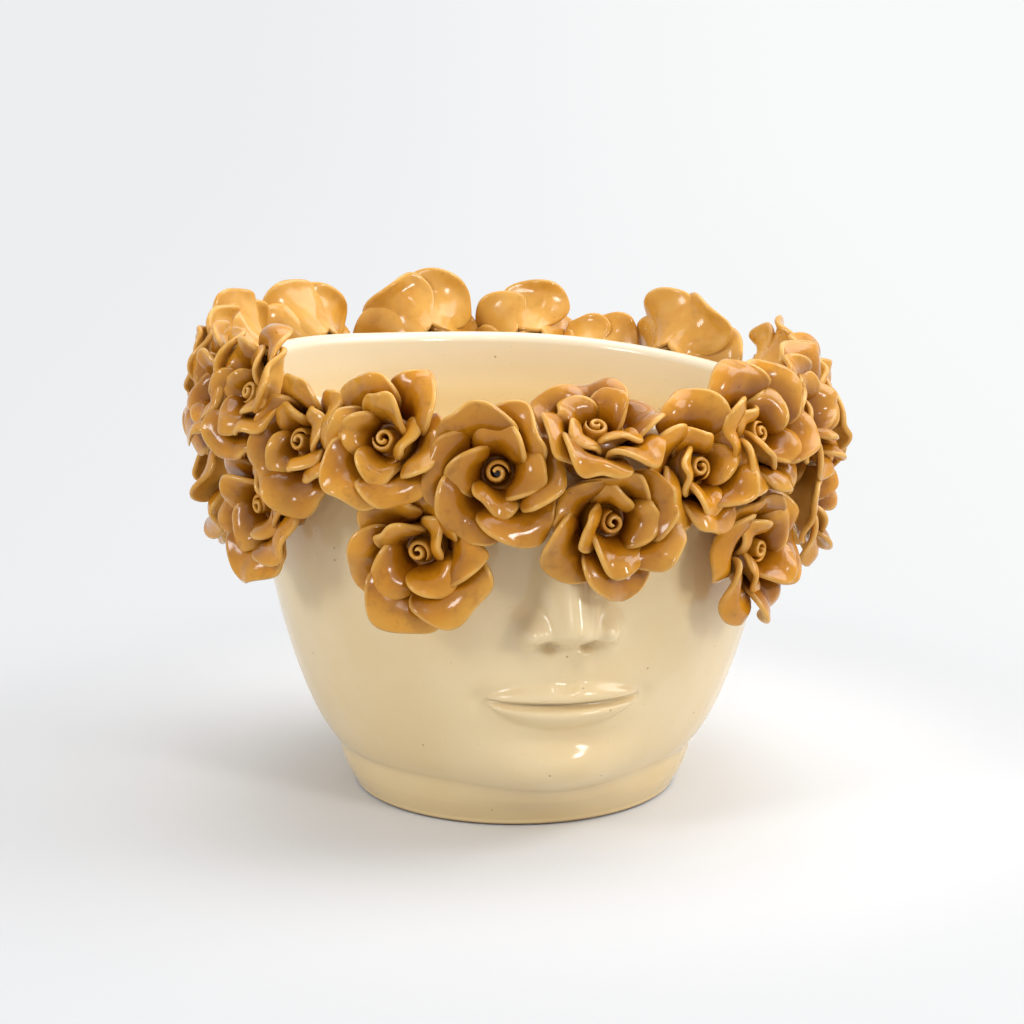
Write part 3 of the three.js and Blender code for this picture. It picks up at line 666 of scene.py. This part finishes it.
def hold(points):
    """Points held inside the solid model's box: a way d into the last 5 mm before a face of the box, or past
    it, becomes 5 mm tanh(d / 5 mm). Nothing is held near the table."""
    give = 5 * MM
    low, high = np.array(CAD_BOX[0]) + give, np.array(CAD_BOX[1]) - give
    over, under = np.maximum(points - high, 0), np.maximum(low - points, 0)
    held = np.clip(points, low, high) + give * (np.tanh(over / give) - np.tanh(under / give))
    held[:, 2] = np.where(points[:, 2] < give, points[:, 2], held[:, 2])
    return held


def spread(rose, petal, quality):
    """A repeatable spread from -1 to 1, from multiples of the golden ratio."""
    turns = (37 * rose + 11 * petal + 5 * quality + 1) * (np.sqrt(5) - 1) / 2
    return 2 * (turns - np.floor(turns)) - 1


def rose_petals(size, index, scale, radius, axes, plot):
    """Shape values of every petal of a rose as arrays, in two rings; a crowded petal stands up, and those of
    the back row along the lip are broader and calmer. Leans are in degrees: root, tip and spread of the tip;
    cup, curl and wave are in millimetres."""
    angle, drop = SEATS[index, :2]
    lip_row = 20  # roses seated less far below the lip than this stand along it
    broad = smooth(angle, 85, 102) * (1 - smooth(angle, 225, 255)) * (drop < lip_row)
    inner_base = size.heart_radius + size.seat_gap + size.thickness / 2
    outer_base = inner_base + size.thickness + size.ring_step
    reach_share = 0.82  # of an open petal's length
    rings = (
        dict(
            start=0, count=size.inner_count, base=inner_base, root=size.inner_root, half=size.inner_half,
            length=size.inner_length, lean=(2, 58, 8), look=0.6, cup=8.5, twist=17, curl=2.6, wave=2.0,
        ),
        dict(
            start=7, count=size.outer_count, base=outer_base, root=size.outer_root, half=size.outer_half,
            length=(size.radius - outer_base) / reach_share, lean=(30, 84, 10), look=0.5, cup=16, twist=18,
            curl=3.0, wave=2.8,
        ),
    )
    rows = []
    for ring in rings:
        i = np.arange(ring["count"])
        even = np.ones(ring["count"])
        vary = [spread(index, i + ring["start"], q) for q in range(6)]
        turn = ROSE_TURN * index + 2 * np.pi * (i + 0.05 * vary[0]) / ring["count"]
        looks = turn[:, None] + np.array([-1, 0, 1]) * ring["look"]
        towards = np.stack([np.cos(looks), np.sin(looks), 0 * looks], -1) @ axes
        room = (1 / crowding(plot, towards)).min(1)
        openness = np.clip((room - outer_base) / (radius - outer_base), 0.15, 1)
        root_lean, tip_lean, varied = ring["lean"]
        rows.append(dict(
            turn=turn,
            base=even * ring["base"],
            root=even * ring["root"],
            length=ring["length"] * scale * (0.75 + 0.25 * openness) * (1 + 0.12 * vary[1]),
            half=ring["half"] * scale * (0.7 + 0.3 * openness) * (1 + 0.08 * vary[2]) * (1 + 0.15 * broad),
            lean_low=np.radians(root_lean * openness),
            lean_high=np.radians(tip_lean * openness + varied * vary[3]),
            cup=even * ring["cup"] * MM * scale,
            twist=even * np.radians(ring["twist"]) * (1 - 0.5 * broad),
            curl=ring["curl"] * MM * (1 + 0.5 * vary[4]) * (1 - 0.4 * broad),
            wave=even * ring["wave"] * MM * (1 - 0.5 * broad),
            phase=np.pi * vary[5],
        ))
    return {key: np.concatenate([row[key] for row in rows])[:, None, None] for key in rows[0]}


def petal_surface(size, p, u, v):
    """Middle surface of petals at (u, v), u across in half widths and v from the pad to the tip. The middle
    line is an arc leaning from lean_low to lean_high; across it lies an arc of radius wrap, moved back by
    the twist, by waves that grow towards the lip and by the roll of the lip."""
    grown = smooth(v, 0, 0.5)
    half = mix(p["root"] / 0.8, p["half"], grown)
    half = half * (1 + 0.1 * u * np.sin(4 * v + p["phase"]) * grown)
    run = v + 0.06 * np.sin(2.6 * u + 1.7 * p["phase"]) * grown * v
    bend = p["lean_high"] - p["lean_low"]
    lean = p["lean_low"] + bend * run
    radius = p["base"] + p["length"] * (np.cos(p["lean_low"]) - np.cos(lean)) / bend
    height = size.pad_height + p["length"] * (np.sin(lean) - np.sin(p["lean_low"])) / bend
    sideways = u * half
    wrap = mix(p["base"], p["cup"], grown)
    waved = p["wave"] * (np.sin(3.6 * u + p["phase"]) + 0.25 * np.sin(7 * u - 2 * p["phase"]))
    waved = waved * np.maximum(v, 0) ** 2
    hollow = -wrap * (1 - np.cos(sideways / wrap))
    rim = np.sqrt(u * u + (1.6 * v - 0.6) ** 2)
    roll = p["curl"] * smooth(rim, 0.55, 1.05)
    back = hollow + grown * (sideways * np.tan(p["twist"]) + waved + roll)
    out = radius + back * np.cos(lean * grown)
    up = height - back * np.sin(lean * grown)
    across = wrap * np.sin(sideways / wrap)
    c, s = np.cos(p["turn"]), np.sin(p["turn"])
    return np.stack([out * c - across * s, out * s + across * c, up], -1)


def petal_grid(steps):
    """Grid of one petal, a square squeezed to a disc by u = x sqrt(1 - y^2 / 2) and w = y sqrt(1 - x^2 / 2):
    u, v running from -0.25 in the pad to 1 at the tip, the inset from the edge, which points have a second
    one on the rear, and the quads of front and rear, sewn together along the edge."""
    line = np.linspace(-1, 1, steps)
    line = 0.5 * (np.sin(np.pi / 2 * line) + line)
    x, y = line[:, None], line[None, :]
    u, w = x * np.sqrt(1 - y * y / 2), y * np.sqrt(1 - x * x / 2)
    v = mix(-0.25, 1, (1 + w) / 2)
    inset = 1 - np.hypot(u, w)
    rear = np.zeros((steps, steps), bool)
    rear[1:-1, 1:-1] = True
    rear = rear.ravel()
    behind = np.where(rear, steps * steps + np.cumsum(rear) - 1, np.arange(steps * steps))
    quads = grid_faces(steps, steps, False)
    return u, v, inset, rear, np.concatenate([quads, behind[quads][:, ::-1]])


def petal_shells(size, p, u, v, inset, rear):
    """Points and glaze values of all petals of a rose in its own frame: the middle surface moved along its
    normal to both sides by half of a thickness that rounds off like a quarter circle at the edge."""
    step = 1e-4
    middle = petal_surface(size, p, u, v)
    du = petal_surface(size, p, u + step, v) - petal_surface(size, p, u - step, v)
    dv = petal_surface(size, p, u, v + step) - petal_surface(size, p, u, v - step)
    normal = np.cross(du, dv)
    normal /= np.linalg.norm(normal, axis=-1, keepdims=True)
    rim = inset * np.minimum(p["half"], 0.6 * p["length"])
    thick = size.thickness / 2 * mix(0.75, 1.15, smooth(inset, 0, 0.5))
    offset = normal * (thick * np.sqrt(1 - (1 - np.minimum(rim / thick, 1)) ** 2))[..., None]
    petals = len(middle)
    front = (middle - offset).reshape(petals, -1, 3)
    behind = (middle + offset).reshape(petals, -1, 3)[:, rear]
    points = np.concatenate([front, behind], 1).reshape(-1, 3)
    glaze = {"edge_and_rear_light": np.exp(-rim / (0.9 * MM)), "depth": v, "thin_and_rear_light": 1 - smooth(inset, 0.02, 0.5)}
    for name, value in glaze.items():
        value = np.broadcast_to(value, rim.shape).reshape(petals, -1)
        # The rear of every petal takes at least the rear values, which paint it lighter and keep the painted
        # shade of the folds off it.
        glaze[name] = np.concatenate([value, np.maximum(value[:, rear], REAR_PAINTED_LIGHT[name])], 1).ravel()
    return points, glaze


def pad_points(size, pot, seat, axes):
    """The pad of a rose, turned about its axis: rows from the middle of the top over a collar that hugs the
    heart, h(r) = pad height + collar s(r), and down the side to the middle of the sunk back. It is held
    within 2.5 mm of the outside of the wall and under the lip."""
    sunk_depth, wall_depth, lip_room = 3 * MM, 2.5 * MM, 2 * MM
    snug = size.heart_radius + size.seat_gap
    radius = snug + size.thickness + size.ring_step + size.pad_margin
    reach = np.linspace(0, radius, 48)[1:]
    collar = mix(0.45 * smooth(reach, 0.3 * snug, snug), 1, smooth(reach, snug, radius))
    down = np.linspace(0, 1, 9)[1:]
    side_share = 0.8  # of the way down; the rest runs in under the pad
    reach = np.concatenate([reach, radius * (1 - 0.9 * np.maximum(down - side_share, 0) / (1 - side_share))])
    side = mix(size.pad_height, -sunk_depth, np.minimum(down / side_share, 1))
    up = np.concatenate([size.pad_height + size.collar * collar, side])[:, None]
    turn = 2 * np.pi * np.arange(PAD_COLUMNS)[None, :] / PAD_COLUMNS
    local = np.stack([reach[:, None] * np.cos(turn), reach[:, None] * np.sin(turn), up + 0 * turn], -1)
    faces = turned_faces(len(local), PAD_COLUMNS)
    local = np.concatenate([local.reshape(-1, 3), [[0, 0, size.pad_height], [0, 0, -sunk_depth]]])
    points = local @ axes + seat
    curve, _ = belly_curve(pot, WALL_STEPS)
    flat = np.hypot(points[:, 0], points[:, 1])
    lifted = slant(pot, points[:, 0], points[:, 1], points[:, 2])
    low = np.interp(points[:, 2] - lifted, curve[:, 1], curve[:, 0]) - wall_depth
    sunk = local[:, 2] < size.pad_height - MM
    points[sunk, :2] *= (np.maximum(flat, low) / flat)[sunk, None]
    points[sunk, 2] = np.minimum(points[sunk, 2], pot.rim_height + lifted[sunk] - lip_room)
    return points, [f[:, ::-1] for f in faces]


class CACHEPOT_OT_petals(bpy.types.Operator):
    """Build the petals and the pad of every rose"""

    bl_idname = "cachepot.petals"
    bl_label = "Rose Petals"

    def execute(self, context):
        scene = context.scene
        pot, face, size = scene.cachepot_pot, scene.cachepot_face, scene.cachepot_rose
        seat, frames, core, radius, scale = seat_roses(pot, face, size)
        plots = rose_plots(core, radius, size.neighbour_lap)
        material = honey_glaze(scene.cachepot_glazes)
        *grid, quads = petal_grid(PETAL_STEPS)
        count = quads.max() + 1
        for i, axes in enumerate(frames):
            shape = rose_petals(size, i, scale[i], radius[i], axes, plots[i])
            local, glaze = petal_shells(size, shape, *grid)
            world = hold(press(plots[i], core[i], axes[2], local @ axes + seat[i]))
            first = count * np.arange(len(world) // count)
            faces = (quads[None] + first[:, None, None]).reshape(-1, 4)
            pad, pad_faces = pad_points(size, pot, seat[i], axes)
            parts = [faces, *(f + len(world) for f in pad_faces)]
            world = np.concatenate([world, pad])
            # The pad takes the pad values, which paint it half way to the pooled brown, as painted shade.
            for key, value in PAD_GLAZE_AND_SHADE.items():
                glaze[key] = np.concatenate([glaze[key], np.full(len(pad), value)])
            # Painted shade on the chosen roses, none on the others.
            glaze["rose_shade"] = np.full(len(world), SHADED_ROSES.get(i + 1, 0.0))
            name = f"rose_{i + 1:02d}"
            make_piece(f"{name}_corolla", world, parts, glaze, material, f"{name}_petals")
        return {"FINISHED"}


def rolled_strip(size, start):
    """Points of a strip rolled to a spiral, one row per step along it, and their level from 0 at its foot to
    1 at its top. The reach shrinks by strip and gap each turn; the section is two sides and a half-round
    top, thinned towards both ends; the roll narrows upwards by 1.3 - 0.38 level."""
    half = size.strip / 2
    share = np.linspace(0, 1, STRIP_STEPS)[:, None]
    arc = np.linspace(np.pi, 0, 9)
    wall = np.linspace(0, 1, 8)[:-1]
    turn = 2 * np.pi * size.turns * share + start
    reach = size.heart_radius - half - (size.strip + size.strip_gap) * size.turns * share
    foot = size.pad_height + size.seat_gap
    top = foot + size.heart_length - 1.2 * MM * (1 - share) - half
    side = mix(foot, top, wall)
    up = np.concatenate([side, top + half * np.sin(arc), side[:, ::-1]], 1)
    section = np.concatenate([np.full(len(wall), half), -half * np.cos(arc), np.full(len(wall), -half)])
    thinned = np.sqrt(smooth(share, -0.01, 0.12) * smooth(1 - share, -0.01, 0.08))
    level = (up - foot) / size.heart_length
    place = (reach + section * thinned) * (1.3 - 0.38 * level)
    return np.stack([place * np.cos(turn), place * np.sin(turn), up], -1), level


class CACHEPOT_OT_hearts(bpy.types.Operator):
    """Build the rolled heart of every rose"""

    bl_idname = "cachepot.hearts"
    bl_label = "Rose Hearts"

    def execute(self, context):
        scene = context.scene
        pot, face, size = scene.cachepot_pot, scene.cachepot_face, scene.cachepot_rose
        seat, frames, *_ = seat_roses(pot, face, size)
        material = honey_glaze(scene.cachepot_glazes)
        for i, axes in enumerate(frames):
            local, level = rolled_strip(size, ROSE_TURN * i)
            steps, ring = level.shape
            fan = np.arange(1, ring - 1)
            start = np.stack([0 * fan, fan, fan + 1], -1)
            ends = np.concatenate([start[:, ::-1], start + (steps - 1) * ring])
            glaze = {
                "edge_and_rear_light": np.exp(-(1 - level) * 9),
                # Darker towards the foot of the heart: pooled glaze, and partly painted shade in the well
                # round it.
                "depth": 0.38 + 0.62 * level,
                "thin_and_rear_light": smooth(level, 0.7, 1),
                # Painted shade on the chosen roses, as on their petals.
                "rose_shade": np.full(level.shape, SHADED_ROSES.get(i + 1, 0.0)),
            }
            world = local.reshape(-1, 3) @ axes + seat[i]
            faces = [grid_faces(steps, ring, True), ends]
            name = f"rose_{i + 1:02d}"
            make_piece(f"{name}_roll", world, faces, glaze, material, f"{name}_heart")
        return {"FINISHED"}


def shaded_backdrop_tone(w, tones, across):
    """Colour of the far floor, the backdrop and the air behind them, from left to right: painted shade,
    darker on the left.
    """
    return w.blend(w.ramp(across, -0.4, 0.4), rgba(tones.backdrop_left_shaded), rgba(tones.backdrop_right_lit))


def pale_paper(tones):
    """Paper of the floor: lit near the pot, where it keeps the shadow, and plain further out, with painted
    shade to the left.
    """
    w = Wiring("pale_paper")
    place = w.place()
    shade = tuple(0.985 * c for c in tones.paper)
    tone = w.blend(w.ramp(w.noise(3, 2), 0.3, 0.7), rgba(tones.paper), rgba(shade))
    reach = w.add("VectorMath", {0: place}, operation="LENGTH").outputs["Value"]
    tone = w.blend(w.ramp(reach, 0.1, 0.24), tone, rgba(tones.paper_round))
    lit = w.add("BsdfDiffuse", {"Color": tone}).outputs[0]
    plain = w.add("Emission", {"Color": shaded_backdrop_tone(w, tones, w.part(place, "X"))}).outputs[0]
    far = w.math("MULTIPLY", w.ramp(reach, 0.12, 0.33), w.shown())
    both = w.add("MixShader", {0: far, 1: lit, 2: plain})
    w.add("OutputMaterial", {"Surface": both.outputs[0]})
    return w.owner


def lay_backdrop(scene, tones):
    """Floor from 3 m in front to 2 m behind, a quarter round of 0.8 m and a wall up to 4 m, 8 m wide."""
    front, behind, bend, tall, half_width = 3.0, 2.0, 0.8, 4.0, 4.0
    turn = np.linspace(0, np.pi / 2, 13)
    depth = np.concatenate([[-front, 0.0], behind + bend * np.sin(turn), [behind + bend]])
    height = np.concatenate([[0.0, 0.0], bend * (1 - np.cos(turn)), [tall]])
    width = np.linspace(-half_width, half_width, 9)
    points = np.stack(np.broadcast_arrays(width[None, :], depth[:, None], height[:, None]), -1)
    faces = grid_faces(len(depth), len(width), False)
    mesh = bpy.data.meshes.new("backdrop")
    mesh.from_pydata(points.reshape(-1, 3).tolist(), [], faces.tolist())
    mesh.polygons.foreach_set("use_smooth", np.ones(len(mesh.polygons), bool))
    mesh.materials.append(pale_paper(tones))
    backdrop = bpy.data.objects.new("backdrop", mesh)
    scene.collection.objects.link(backdrop)
    backdrop.rotation_euler = (0, 0, VIEW_TURN)


def hang_lamps(scene):
    """Soft square lamps, placed as the view sees them and aimed at a point on the pot's axis."""
    c, s = np.cos(VIEW_TURN), np.sin(VIEW_TURN)
    for name, ((right, away, up), aim, side, power) in LAMPS.items():
        lamp = bpy.data.lights.new(name, "AREA")
        lamp.shape, lamp.size, lamp.size_y, lamp.energy = "RECTANGLE", side, side, power
        light = bpy.data.objects.new(name, lamp)
        scene.collection.objects.link(light)
        place = Vector((right * c - away * s, right * s + away * c, up))
        light.location = place
        light.rotation_euler = (Vector((0, 0, aim)) - place).to_track_quat("-Z", "Y").to_euler()


def light_sky(scene, tones):
    """White light from all round, shown as the tone of the backdrop with its painted shade to the left."""
    scene.world = bpy.data.worlds.new("studio")
    w = Wiring("studio", scene.world)
    sky = w.add("Background", {"Color": (1, 1, 1, 1), "Strength": SKY_STRENGTH}).outputs[0]
    far = w.add("Background", {"Color": shaded_backdrop_tone(w, tones, w.part(w.place(), "X"))}).outputs[0]
    both = w.add("MixShader", {0: w.shown(), 1: sky, 2: far})
    w.add("OutputWorld", {"Surface": both.outputs[0]})


def set_camera(scene):
    """The camera, looking slightly down from one side of the face."""
    view = bpy.data.cameras.new("camera")
    view.sensor_width, view.lens = SENSOR, FOCAL_PIXELS / IMAGE_PIXELS * SENSOR
    camera = bpy.data.objects.new("camera", view)
    scene.collection.objects.link(camera)
    camera.location = (VIEW_REACH * np.sin(VIEW_TURN), -VIEW_REACH * np.cos(VIEW_TURN), VIEW_HEIGHT)
    camera.rotation_euler = (np.pi / 2 - VIEW_DIP, 0, VIEW_TURN + VIEW_PAN)
    scene.camera = camera


class CACHEPOT_OT_stage(bpy.types.Operator):
    """Set up the pale floor, the soft light and the camera"""

    bl_idname = "cachepot.stage"
    bl_label = "Stage"

    def execute(self, context):
        scene = context.scene
        lay_backdrop(scene, scene.cachepot_glazes)
        hang_lamps(scene)
        light_sky(scene, scene.cachepot_glazes)
        set_camera(scene)
        scene.view_settings.view_transform = "Standard"
        return {"FINISHED"}


class CACHEPOT_PT_panel(bpy.types.Panel):
    """Buttons and sizes of the cachepot"""

    bl_label = "Cachepot"
    bl_idname = "CACHEPOT_PT_panel"
    bl_space_type = "VIEW_3D"
    bl_region_type = "UI"
    bl_category = "Cachepot"

    def draw(self, context):
        for operator in OPERATORS:
            self.layout.operator(operator.bl_idname)
        for group, pointer in GROUPS.items():
            box = self.layout.box()
            box.label(text=group.__name__)
            for name in group.__annotations__:
                box.prop(getattr(context.scene, pointer), name)


GROUPS = {
    PotSizes: "cachepot_pot",
    FaceSizes: "cachepot_face",
    RoseSizes: "cachepot_rose",
    GlazeColours: "cachepot_glazes",
}
OPERATORS = (CACHEPOT_OT_pot, CACHEPOT_OT_petals, CACHEPOT_OT_hearts, CACHEPOT_OT_stage)
CLASSES = (*GROUPS, *OPERATORS, CACHEPOT_PT_panel)


def register():
    """Register the classes and put the sizes and colours on the scene."""
    for cls in CLASSES:
        bpy.utils.register_class(cls)
    for group, name in GROUPS.items():
        setattr(bpy.types.Scene, name, PointerProperty(type=group))


def unregister():
    """Take away what register added."""
    for name in GROUPS.values():
        delattr(bpy.types.Scene, name)
    for cls in reversed(CLASSES):
        bpy.utils.unregister_class(cls)


def main():
    """Build the cachepot and its stage."""
    register()
    bpy.ops.cachepot.pot()
    bpy.ops.cachepot.petals()
    bpy.ops.cachepot.hearts()
    bpy.ops.cachepot.stage()


if __name__ == "__main__":
    main()
